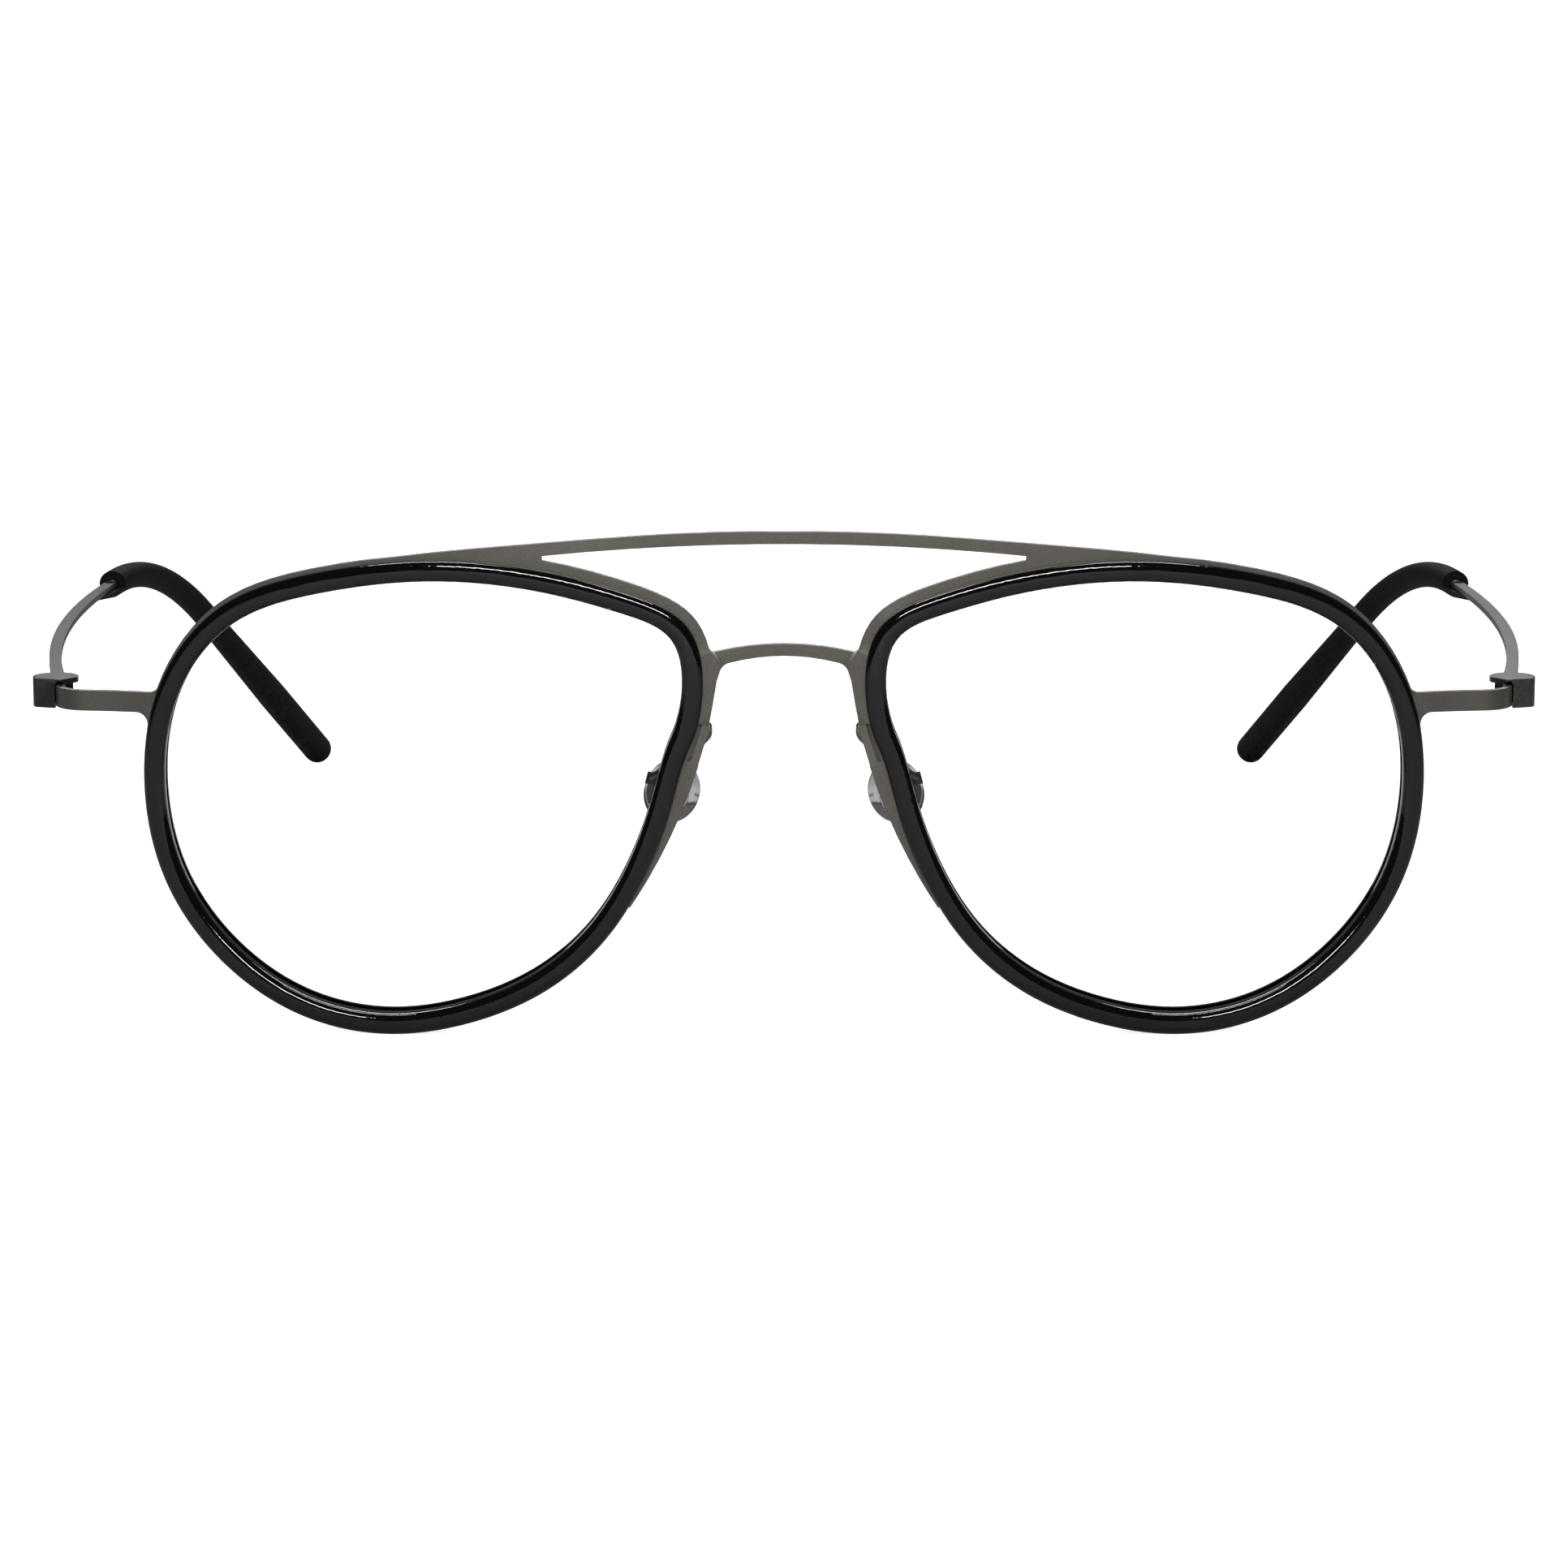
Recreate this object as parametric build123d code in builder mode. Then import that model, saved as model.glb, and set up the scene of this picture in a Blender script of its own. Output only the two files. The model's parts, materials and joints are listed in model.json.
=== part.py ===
from build123d import *
from math import asin, cos, degrees, radians, sin, sqrt, tan
import os

os.makedirs("parts", exist_ok=True)

# Double bridge glasses: a thin curved titanium front that holds two inner rims, with
# clear lenses, folding temples with soft tips, and soft nose pads on small clips.
# X runs to the wearer's left, the front faces -Y, Z is up from the table.
# The wearer's right side, at negative X, is modelled and the left one is its mirror image.

# Driving dimensions, in millimetres and degrees

# Eyes and inner rims
opening_width = 49.3
opening_height = 41.65
eye_spacing = 68.5
rim_width = 2.0
rim_proud = 0.9
rim_depth = 3.9
rim_round = 0.65
rim_back_bevel = 0.25

# Lenses
lens_thickness = 1.3
lens_setback = 0.9
lens_seat = 0.55
lens_bevel = 0.4
lens_clearance = 0.02

# Titanium front sheet
sheet_thickness = 0.65
front_curve_radius = 300.0
sheet_seat = 0.8
sheet_seat_clearance = 0.05
ring_recess = 0.15
ring_lift = 0.4
brow_rise = 2.94
brow_bar_height = 1.15
window_rim_margin = 0.95
window_half_width = 22.65
window_arch_rise = 1.27
nasal_margin = 1.3
lower_bridge_rise = 15.2
lower_bridge_height = 1.16
lower_bridge_arch_rise = 1.78
lower_bridge_under_rise = 0.87
bridge_corner_round = 0.45
bridge_root_round = 1.2
bridge_root_x = 5.8

# End pieces
strip_height = 1.96
strip_rise = 8.52
end_shoulder = 1.3
end_top_round = 0.7
end_under_round = 1.1
end_tilt = 5.0
bend_radius = 3.1
knuckle_trim = 0.15
knuckle_wrap = 285.0

# Hinges
hinge_reach = 9.2
hinge_setback = 12.4
pin_radius = 0.42
pin_clearance = 0.055
pin_head_radius = 0.85
pin_head_height = 0.27
pin_seat_depth = 0.25
hinge_gap = 0.05
head_plate = 0.5
head_height = 2.8
head_width = 3.9
head_front = 1.6
head_back = 1.75
head_offset = 0.4
head_nose_offset = 0.6
head_nose = 0.9
head_inner_step = 0.6
head_back_offset = 0.3
head_corner_round = 0.2
swing_clearance = 0.1
slot_arch_radius = 0.35
slot_arch_length = 1.6

# Temples
temple_width = 1.2
temple_thickness = 0.6
temple_root_inset = 0.52
temple_root_overlap = 0.35
temple_bow_radius = 186.0
temple_bow_apex = 35.0
temple_length = 60.3

# Temple tips
tip_bend_radius = 61.4
tip_drop_angle = 30.4
tip_turn_angle = 6.4
tip_neck_radius = 1.38
tip_radius = 1.68
tip_straight_length = 18.0
tip_taper_length = 22.0
tip_lip_setback = 1.8
tip_lip_step = 0.8
tip_tongue_length = 6.5
tip_tongue_radius = 0.75
bar_clearance = 0.03
core_radius = 0.45
core_overlap = 2.0
core_length = 24.0
core_clearance = 0.03

# Nose pads and their clips
pad_half_width = 3.4
pad_half_height = 3.0
pad_thickness = 1.9
pad_nose_round = 0.8
pad_back_round = 0.45
pad_splay = 40.0
pad_lean = 20.0
pad_x = 11.3
pad_setback = 6.45
pad_rise = 0.1
pad_mount_rise = 0.6
pad_core_margin = 0.6
pad_core_thickness = 0.5
pad_core_clearance = 0.02
pad_neck_width = 1.0
pad_eye_radius = 0.6
pad_eye_offset = 0.85
pad_pin_radius = 0.25
pad_pin_clearance = 0.05
pad_pin_head_radius = 0.42
pad_pin_head_height = 0.15
clip_side_gap = 0.06
clip_wall = 0.3
clip_base = 0.4
clip_base_gap = 0.1
notch_length = 3.9
notch_depth = 1.1
notch_lean = 17.0
spine_width = 0.75
flange_gap = 0.02
flange_thickness = 0.4
flange_overlap = 0.25
arm_radius = 0.4
arm_bend_radius = 0.7
arm_start_rise = 0.8
arm_loop_out = 0.45
arm_loop_back = 3.1
arm_loop_rise = 0.5
arm_loop_drop = 1.2
arm_loop_step = 1.2
arm_end_reach = 2.4
arm_end_forward = 0.7
arm_end_rise = 1.3
foot_length = 1.2
foot_setback = 0.25
overrun = 5.0

# Hand-chosen outlines, as shares of half the opening's width and height from its centre,
# where positive is towards the nose and upwards
eye_shares = [
    (0.957, 0.297),
    (1.0, 0.53),
    (0.955, 0.755),
    (0.787, 0.86),
    (0.452, 0.962),
    (0.032, 1.0),
    (-0.385, 0.935),
    (-0.72, 0.785),
    (-0.945, 0.43),
    (-0.998, 0.017),
    (-0.925, -0.386),
    (-0.732, -0.711),
    (-0.463, -0.925),
    (-0.151, -1.0),
    (0.151, -0.945),
    (0.422, -0.804),
    (0.643, -0.574),
    (0.795, -0.276),
    (0.88, 0.0),
]
# Top of the brow bar, as shares of half the front's width and of the brow's height
brow_shares = [
    (0.0, 1.0),
    (0.18, 0.9947),
    (0.37, 0.9754),
    (0.556, 0.9516),
    (0.707, 0.9197),
    (0.834, 0.8713),
]
# Nose side of the titanium ring, as shares of its reach and of half the rim's height
nasal_shares = [
    (0.7045, -0.446),
    (0.758, -0.342),
    (0.846, -0.137),
    (0.922, 0.0946),
    (0.9565, 0.237),
    (0.986, 0.406),
    (1.0, 0.508),
]

# Sizes worked out from these
eye_x = eye_spacing / 2
eye_half_width = opening_width / 2
eye_half_height = opening_height / 2
rim_half_width = eye_half_width + rim_width
rim_half_height = eye_half_height + rim_width
eye_z = rim_half_height
front_half_width = eye_x + rim_half_width
brow_height = 2 * rim_half_height + brow_rise
strip_z = eye_z + strip_rise
strip_top = strip_z + strip_height / 2
strip_bottom = strip_z - strip_height / 2

strip_start_x = front_half_width + end_shoulder
hinge_x = front_half_width + hinge_reach
head_top = strip_top + hinge_gap + head_plate
temple_z = head_top - temple_thickness / 2
knuckle_radius = pin_radius + pin_clearance + sheet_thickness / 2

# The temple's centre line, measured from the hinge: a bow, then the tip's bend downwards
# from the bow's end, then a straight run down to the table
bow_x = hinge_x - temple_root_inset + temple_bow_radius - sqrt(temple_bow_radius**2 - temple_bow_apex**2)
bow_angle = asin((temple_length - temple_bow_apex) / temple_bow_radius)
drop_angle = radians(tip_drop_angle)
drop_heading = bow_angle + radians(tip_turn_angle)
bow_end_direction = Vector(sin(bow_angle), cos(bow_angle), 0)
drop_direction = Vector(
    cos(drop_angle) * sin(drop_heading),
    cos(drop_angle) * cos(drop_heading),
    -sin(drop_angle),
)
half_turn = radians(bow_end_direction.get_angle(drop_direction)) / 2
turn_set = tip_bend_radius * tan(half_turn)
drop_length = (temple_z - tip_radius) / sin(drop_angle)
tip_reach = temple_length + turn_set * cos(bow_angle) + drop_length * drop_direction.Y

# The front's apex stands this far in front of the middle of the whole depth
front_y = -(hinge_setback + tip_reach + tip_radius - rim_proud) / 2
curve_axis_y = front_y + front_curve_radius
hinge_y = front_y + hinge_setback
front_zone = 4 * hinge_setback
front_plane = Plane.XZ.offset(front_zone / 2 - front_y)


def curved_layer(front_offset, back_offset):
    """A layer that follows the front's curve, between two distances behind its surface."""
    with BuildPart() as layer:
        with BuildSketch(Plane.XY.offset(-overrun)):
            with Locations((0, curve_axis_y)):
                Circle(front_curve_radius - front_offset)
                Circle(front_curve_radius - back_offset, mode=Mode.SUBTRACT)
            with Locations((0, front_y)):
                Rectangle(2 * (hinge_x + overrun), 2 * front_zone, mode=Mode.INTERSECT)
        extrude(amount=brow_height + 2 * overrun)
    return layer.part


def eye_outline(margin):
    """The eye opening's outline, each of its points moved straight outwards by a margin."""
    eye_points = [(sx * eye_half_width - eye_x, sz * eye_half_height + eye_z) for sx, sz in eye_shares]
    with BuildSketch() as outline:
        with BuildLine():
            base = Spline(*eye_points, periodic=True, mode=Mode.PRIVATE)
            outward = [base.tangent_at(point).rotate(Axis.Z, -90) for point in eye_points]
            moved = [Vector(*point) + normal * margin for point, normal in zip(eye_points, outward)]
            whole = Spline(*moved, periodic=True, mode=Mode.PRIVATE)
            add([whole.trim(0, 1 / 2), whole.trim(1 / 2, 1)])
        make_face()
    return outline.sketch


# Lens, with an edge bevelled on both sides, and the same shape a little larger for its groove


def lens_body(clearance):
    """The clear lens with its bevelled edge, moved outwards by a clearance."""
    with BuildPart() as body:
        add(curved_layer(lens_setback, lens_setback + lens_thickness))
        with BuildSketch(front_plane):
            add(eye_outline(lens_seat + clearance))
        extrude(amount=-front_zone, mode=Mode.INTERSECT)
        sides = body.faces().filter_by(GeomType.CYLINDER).sort_by(Axis.Y)
        chamfer(sides[0].edges() + sides[-1].edges(), length=lens_bevel)
    return body.part


with BuildPart() as lens_right:
    add(lens_body(0))

# Inner rim: a ring with rounded front edges, a slot outside for the titanium sheet and a
# groove inside for the lens
with BuildPart() as sheet_slot:
    add(curved_layer(0, sheet_thickness))
    with BuildSketch(front_plane):
        add(eye_outline(rim_width + overrun))
        add(eye_outline(rim_width - sheet_seat), mode=Mode.SUBTRACT)
    extrude(amount=-front_zone, mode=Mode.INTERSECT)

with BuildPart() as rim_right:
    add(curved_layer(-rim_proud, rim_depth - rim_proud))
    with BuildSketch(front_plane):
        add(eye_outline(rim_width))
        add(eye_outline(0), mode=Mode.SUBTRACT)
    extrude(amount=-front_zone, mode=Mode.INTERSECT)
    rim_front = rim_right.faces().filter_by(GeomType.CYLINDER).sort_by(Axis.Y)[0]
    fillet(rim_front.edges(), radius=rim_round)
    rim_back = rim_right.faces().filter_by(GeomType.CYLINDER).sort_by(Axis.Y)[-1]
    chamfer(rim_back.edges(), length=rim_back_bevel)
    add(sheet_slot.part, mode=Mode.SUBTRACT)
    add(lens_body(lens_clearance), mode=Mode.SUBTRACT)

# Titanium front: one sheet with a ring round each eye, the brow bar and the lower bridge
nasal_reach = rim_half_width + nasal_margin
brow_points = [(-sx * front_half_width, sz * brow_height) for sx, sz in brow_shares]
nasal_points = [(sx * nasal_reach - eye_x, sz * rim_half_height + eye_z) for sx, sz in nasal_shares]
bridge_z = eye_z + lower_bridge_rise
under_z = bridge_z - lower_bridge_height
nose_gap = eye_x - eye_half_width
window_top = brow_height - brow_bar_height
window_end_top = window_top - window_arch_rise
window_end_low = bridge_z - lower_bridge_arch_rise
notch_centre = nasal_points[4]
notch_in = (-cos(radians(notch_lean)), sin(radians(notch_lean)))

with BuildSketch() as window:
    with BuildLine():
        arch_top = ThreePointArc(
            (-window_half_width, window_end_top), (0, window_top), (window_half_width, window_end_top)
        )
        arch_low = ThreePointArc(
            (-nose_gap, window_end_low), (0, bridge_z), (nose_gap, window_end_low)
        )
        Polyline(arch_top @ 0, (-window_half_width, eye_z + eye_half_height), arch_low @ 0)
        Polyline(arch_top @ 1, (window_half_width, eye_z + eye_half_height), arch_low @ 1)
    make_face()
    rim_surround = eye_outline(rim_width + window_rim_margin)
    add(rim_surround, mode=Mode.SUBTRACT)
    add(mirror(rim_surround, about=Plane.YZ, mode=Mode.PRIVATE), mode=Mode.SUBTRACT)
    fillet(window.vertices().sort_by(Axis.Y)[:2], radius=bridge_corner_round)

with BuildSketch() as half_front:
    with BuildLine():
        brow = Spline(*brow_points)
        nasal = Spline(*nasal_points)
        under = ThreePointArc(
            (-bridge_root_x, under_z - lower_bridge_under_rise),
            (-bridge_root_x / 2, under_z - lower_bridge_under_rise / 4),
            (0, under_z),
        )
        Line(nasal @ 1, under @ 0)
        Line(under @ 1, brow @ 0)
        Polyline(brow @ 1, (-eye_x, eye_z), nasal @ 0)
    make_face()
    bridge_root = (-bridge_root_x, under_z - lower_bridge_under_rise)
    fillet(half_front.vertices().sort_by_distance(bridge_root)[0], radius=bridge_root_round)

with BuildSketch() as ring:
    add(eye_outline(rim_width - ring_recess))
    with Locations((0, ring_lift)):
        add(eye_outline(rim_width))
    with Locations((-front_half_width, strip_z)):
        Rectangle(2 * (hinge_reach + overrun), strip_height)

with BuildSketch() as eye_hole:
    add(eye_outline(rim_width - sheet_seat + sheet_seat_clearance))

with BuildSketch() as notch:
    with Locations(notch_centre):
        Rectangle(2 * notch_depth, notch_length, rotation=-notch_lean)

with BuildSketch() as front_outline:
    add(half_front.sketch)
    add(ring.sketch)
    add(mirror(half_front.sketch, about=Plane.YZ, mode=Mode.PRIVATE))
    add(mirror(ring.sketch, about=Plane.YZ, mode=Mode.PRIVATE))
    add(window.sketch, mode=Mode.SUBTRACT)
    add(eye_hole.sketch, mode=Mode.SUBTRACT)
    add(mirror(eye_hole.sketch, about=Plane.YZ, mode=Mode.PRIVATE), mode=Mode.SUBTRACT)
    add(notch.sketch, mode=Mode.SUBTRACT)
    add(mirror(notch.sketch, about=Plane.YZ, mode=Mode.PRIVATE), mode=Mode.SUBTRACT)
    for corner_x in (-front_half_width, front_half_width):
        under_corner = front_outline.vertices().sort_by_distance((corner_x, strip_bottom))[0]
        fillet(under_corner, radius=end_under_round)
        top_corner = front_outline.vertices().sort_by_distance((corner_x, strip_top))[0]
        fillet(top_corner, radius=end_top_round)

# Top view of an end piece: it leaves the front's curve, flattens, turns back beside the
# hinge pin and curls round it
layer_radius = front_curve_radius - sheet_thickness / 2
straight_x = hinge_x - knuckle_radius
start_tilt = asin(strip_start_x / layer_radius)
final_tilt = radians(end_tilt)
bend_start_x = straight_x - bend_radius * (1 - sin(final_tilt))
flatten_radius = (bend_start_x - strip_start_x) / (sin(start_tilt) - sin(final_tilt))

with BuildLine() as half_plan:
    front_curve = JernArc((0, curve_axis_y - layer_radius), (-1, 0), layer_radius, degrees(-start_tilt))
    flatten = JernArc(front_curve @ 1, front_curve % 1, flatten_radius, degrees(start_tilt - final_tilt))
    bend = JernArc(flatten @ 1, flatten % 1, bend_radius, degrees(final_tilt - radians(90)))
    straight = Line(bend @ 1, (-straight_x, hinge_y))
    JernArc(straight @ 1, straight % 1, knuckle_radius, knuckle_wrap)

with BuildSketch() as half_layer:
    trace(half_plan.line, line_width=sheet_thickness)

with BuildPart() as front_chassis:
    with BuildSketch(Plane.XY.offset(-overrun)):
        add(half_layer.sketch)
        mirror(half_layer.sketch, about=Plane.YZ)
    extrude(amount=brow_height + 2 * overrun)
    with BuildSketch(front_plane):
        add(front_outline.sketch)
    extrude(amount=-front_zone, mode=Mode.INTERSECT)
    with BuildSketch(Plane.XY.offset(strip_bottom)):
        with Locations((-straight_x, (bend @ 1).Y), (straight_x, (bend @ 1).Y)):
            Rectangle(2 * overrun, 2 * overrun, align=(Align.CENTER, Align.MIN))
    extrude(amount=knuckle_trim, mode=Mode.SUBTRACT)

# Temple: a hinge head with a pointed front, hollow from below for the end piece and its
# swing, then a flat bar level with the head's plate, which bows outwards and ends in the tip
head_x = -(hinge_x - head_offset)
head_bottom = head_top - head_height
plate_bottom = head_top - head_plate
pocket_radius = knuckle_radius + sheet_thickness / 2 + swing_clearance
pocket_x = -straight_x - sheet_thickness / 2 - swing_clearance
head_edge_y = hinge_y - head_front
bow_centre = Vector(temple_bow_radius - bow_x, hinge_y + temple_bow_apex)


def bow_point(distance):
    """A point on the bow's centre line, at a distance behind the hinge."""
    reach = sqrt(temple_bow_radius**2 - (distance - temple_bow_apex) ** 2)
    return Vector(bow_centre.X - reach, hinge_y + distance, temple_z)


def bow_plane(distance):
    """A plane across the bow's centre line, at a distance behind the hinge."""
    angle = asin((distance - temple_bow_apex) / temple_bow_radius)
    return Plane(origin=bow_point(distance), z_dir=(sin(angle), cos(angle), 0))


def temple_bar(grow, start, end):
    """The flat bar between two distances behind the hinge, grown by a clearance."""
    with BuildPart() as bar:
        with BuildSketch(Plane.XY.offset(temple_z - temple_thickness / 2 - grow)):
            with Locations((bow_centre.X, bow_centre.Y)):
                Circle(temple_bow_radius + temple_width / 2 + grow)
                Circle(temple_bow_radius - temple_width / 2 - grow, mode=Mode.SUBTRACT)
            with Locations((-hinge_x, hinge_y + (start + end) / 2)):
                Rectangle(temple_length, end - start, mode=Mode.INTERSECT)
        extrude(amount=temple_thickness + 2 * grow)
    return bar.part


turn_start = bow_point(temple_length)
turn_corner = turn_start + bow_end_direction * turn_set
turn_end = turn_corner + drop_direction * turn_set
turn_inwards = (drop_direction - bow_end_direction).normalized()
turn_middle = turn_corner + turn_inwards * (tip_bend_radius / cos(half_turn) - tip_bend_radius)
end_point = turn_corner + drop_direction * drop_length
straight_point = end_point - drop_direction * tip_straight_length
neck_point = straight_point - drop_direction * tip_taper_length
core_start = temple_length - core_overlap
lip_distance = temple_length - tip_lip_setback
neck_distance = lip_distance - tip_lip_step
tongue_distance = lip_distance - tip_tongue_length


def tip_rod(radius, start, end):
    """A round rod from a distance behind the hinge, round the bend and down to a point."""
    with BuildPart() as rod:
        with BuildLine() as rod_path:
            ThreePointArc(bow_point(start), bow_point((start + temple_length) / 2), turn_start)
            ThreePointArc(turn_start, turn_middle, turn_end)
            Line(turn_end, end)
        with BuildSketch(bow_plane(start)):
            Circle(radius)
        sweep(path=rod_path.line)
    return rod.part


with BuildPart() as temple_right:
    with BuildSketch(Plane.XY.offset(head_bottom)):
        with BuildLine():
            outer = Line(
                (head_x - head_width / 2, head_edge_y),
                (head_x + head_nose_offset, head_edge_y - head_nose),
            )
            inner = Line(outer @ 1, (head_x + head_width / 2, head_edge_y + head_inner_step))
            ThreePointArc(inner @ 1, (head_x + head_back_offset, hinge_y + head_back), outer @ 0)
        make_face()
    extrude(amount=head_height)
    fillet(temple_right.edges().filter_by(Axis.Z), radius=head_corner_round)
    with BuildSketch(Plane.XY.offset(head_bottom)):
        with Locations((-hinge_x, hinge_y)):
            Circle(pocket_radius)
        with Locations((pocket_x, hinge_y + pocket_radius)):
            Rectangle(head_width, head_width + head_nose, align=(Align.MIN, Align.MAX))
    extrude(amount=head_height - head_plate, mode=Mode.SUBTRACT)
    with BuildSketch(Plane.XZ.offset(head_nose - head_edge_y)):
        with Locations((-straight_x, plate_bottom)):
            Circle(slot_arch_radius)
    extrude(amount=-slot_arch_length, mode=Mode.SUBTRACT)
    with BuildSketch(Plane.XY.offset(plate_bottom)):
        with Locations((-hinge_x, hinge_y)):
            Circle(pin_radius)
    extrude(amount=pin_seat_depth, mode=Mode.SUBTRACT)
    add(temple_bar(0, head_back - temple_root_overlap, temple_length))
    add(tip_rod(core_radius, core_start, turn_end + drop_direction * core_length))

with BuildPart() as hinge_pin_right:
    with BuildSketch(Plane.XY.offset(head_bottom)):
        with Locations((-hinge_x, hinge_y)):
            Circle(pin_head_radius)
    extrude(amount=pin_head_height)
    with BuildSketch(Plane.XY.offset(head_bottom)):
        with Locations((-hinge_x, hinge_y)):
            Circle(pin_radius)
    extrude(amount=head_height - head_plate + pin_seat_depth)

# Tip: a soft sleeve, tapered towards its thicker end, with a lip over the bar and a thin
# tongue that runs forward under it
with BuildPart() as temple_tip_right:
    with BuildSketch(bow_plane(tongue_distance)):
        Circle(tip_tongue_radius)
    with BuildSketch(bow_plane(neck_distance)):
        Circle(tip_neck_radius)
    loft()
    add(tip_rod(tip_neck_radius, neck_distance, neck_point))
    with BuildSketch(Plane(origin=neck_point, z_dir=drop_direction)):
        Circle(tip_neck_radius)
    with BuildSketch(Plane(origin=straight_point, z_dir=drop_direction)):
        Circle(tip_radius)
    loft()
    with BuildSketch(Plane(origin=straight_point, z_dir=drop_direction)):
        Circle(tip_radius)
    extrude(amount=tip_straight_length)
    with Locations(end_point):
        Sphere(tip_radius)
    bore_end = turn_end + drop_direction * (core_length + core_clearance)
    add(tip_rod(core_radius + core_clearance, core_start, bore_end), mode=Mode.SUBTRACT)
    add(temple_bar(bar_clearance, 0, temple_length + bar_clearance), mode=Mode.SUBTRACT)
    with BuildSketch(Plane.XY.offset(temple_z - temple_thickness / 2 - bar_clearance)):
        with Locations((-hinge_x, hinge_y + lip_distance)):
            Rectangle(temple_length, temple_length, align=(Align.CENTER, Align.MAX))
    extrude(amount=temple_length, mode=Mode.SUBTRACT)

# Nose pad: a soft oval that leans and splays with the nose, a core plate with an eye on its
# back, and a clip whose two ears hold the eye on a small pin
pad_out = Vector(-sin(radians(pad_splay)), cos(radians(pad_splay)), 0)
pad_face = Vector(
    cos(radians(pad_lean)) * cos(radians(pad_splay)),
    cos(radians(pad_lean)) * sin(radians(pad_splay)),
    -sin(radians(pad_lean)),
)
pad_plane = Plane(origin=(-pad_x, front_y + pad_setback, eye_z + pad_rise), x_dir=pad_out, z_dir=pad_face)
pad_axis = Axis(pad_plane.origin, pad_face)
pad_up = pad_plane.y_dir
eye_origin = pad_plane.origin + pad_up * pad_mount_rise - pad_face * pad_eye_offset
ear_inside = pad_neck_width / 2 + clip_side_gap
ear_outside = ear_inside + clip_wall
base_inside = pad_eye_radius + clip_base_gap
base_outside = base_inside + clip_base


def pin_plane(distance):
    """A plane across the pad's pin, at a distance outwards from the middle of its eye."""
    return Plane(origin=eye_origin + pad_out * distance, x_dir=pad_up, z_dir=pad_out)


with BuildPart() as nose_pad_right:
    with BuildSketch(pad_plane):
        Ellipse(pad_half_width, pad_half_height)
    extrude(amount=pad_thickness)
    fillet(nose_pad_right.faces().sort_by(pad_axis)[-1].edges(), radius=pad_nose_round)
    fillet(nose_pad_right.faces().sort_by(pad_axis)[0].edges(), radius=pad_back_round)
    with BuildSketch(pad_plane):
        Ellipse(pad_half_width - pad_core_margin, pad_half_height - pad_core_margin)
    extrude(amount=pad_core_thickness + pad_core_clearance, mode=Mode.SUBTRACT)

with BuildPart() as pad_core_right:
    with BuildSketch(pad_plane):
        Ellipse(
            pad_half_width - pad_core_margin - pad_core_clearance,
            pad_half_height - pad_core_margin - pad_core_clearance,
        )
    extrude(amount=pad_core_thickness)
    with BuildSketch(pin_plane(-pad_neck_width / 2)):
        Circle(pad_eye_radius)
        Rectangle(
            2 * pad_eye_radius,
            pad_eye_offset + pad_core_thickness / 2,
            align=(Align.CENTER, Align.MIN),
        )
    extrude(amount=pad_neck_width)
    with BuildSketch(pin_plane(-pad_neck_width / 2)):
        Circle(pad_pin_radius + pad_pin_clearance)
    extrude(amount=pad_neck_width, mode=Mode.SUBTRACT)

with BuildPart() as pad_pin_right:
    with BuildSketch(pin_plane(-ear_outside - pad_pin_head_height)):
        Circle(pad_pin_head_radius)
    extrude(amount=pad_pin_head_height)
    with BuildSketch(pin_plane(-ear_outside)):
        Circle(pad_pin_radius)
    extrude(amount=2 * ear_outside)

# Clip: a flat tab in a notch of the ring's nose side, a bent wire and the cup with two ears
along_notch = Vector(sin(radians(notch_lean)), 0, cos(radians(notch_lean)))
into_notch = Vector(-cos(radians(notch_lean)), 0, sin(radians(notch_lean)))
tab_middle = Vector(notch_centre[0], front_y, notch_centre[1]) + into_notch * (spine_width / 2)
arm_start = tab_middle + along_notch * arm_start_rise + Vector(0, sheet_thickness, 0)
arm_back = arm_start + Vector(arm_loop_out, arm_loop_back, arm_loop_rise)
arm_turn = arm_back + Vector(0, arm_loop_step, -arm_loop_drop)
arm_end = eye_origin - pad_face * (base_outside + arm_radius / 2)
arm_top = arm_end + Vector(arm_end_reach, -arm_end_forward, arm_end_rise)
arm_points = [arm_start, arm_back, arm_turn, arm_top, arm_end]
notch_middle = Vector(*notch_centre)
notch_up = Vector(along_notch.X, along_notch.Z)
notch_inwards = Vector(into_notch.X, into_notch.Z)
foot_corner = notch_middle - notch_up * (notch_length / 2)
flange_front = sheet_thickness + flange_gap
flange_back = flange_front + flange_thickness


def bent_path(points, radius):
    """Straight runs through the points, joined by arcs of one radius."""
    with BuildLine() as path:
        last = points[0]
        for before, corner, after in zip(points, points[1:], points[2:]):
            way_in = (corner - before).normalized()
            way_out = (after - corner).normalized()
            half = radians(way_in.get_angle(way_out)) / 2
            start = corner - way_in * (radius * tan(half))
            end = corner + way_out * (radius * tan(half))
            middle = corner + (way_out - way_in).normalized() * (radius / cos(half) - radius)
            Line(last, start)
            ThreePointArc(start, middle, end)
            last = end
        Line(last, points[-1])
    return path.line


with BuildPart() as clip_foot:
    add(curved_layer(foot_setback, flange_back))
    with BuildSketch(front_plane):
        with BuildLine():
            Polyline(
                foot_corner + notch_inwards * (spine_width / 2),
                foot_corner + notch_inwards * notch_depth,
                foot_corner + notch_inwards * (spine_width / 2) + notch_up * foot_length,
                close=True,
            )
        make_face()
    extrude(amount=-front_zone, mode=Mode.INTERSECT)

with BuildPart() as clip_flange:
    add(curved_layer(flange_front, flange_back))
    with BuildSketch(front_plane):
        with Locations(notch_middle + notch_inwards * (notch_depth / 2)):
            Rectangle(notch_depth, notch_length + 2 * flange_overlap, rotation=-notch_lean)
    extrude(amount=-front_zone, mode=Mode.INTERSECT)

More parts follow.
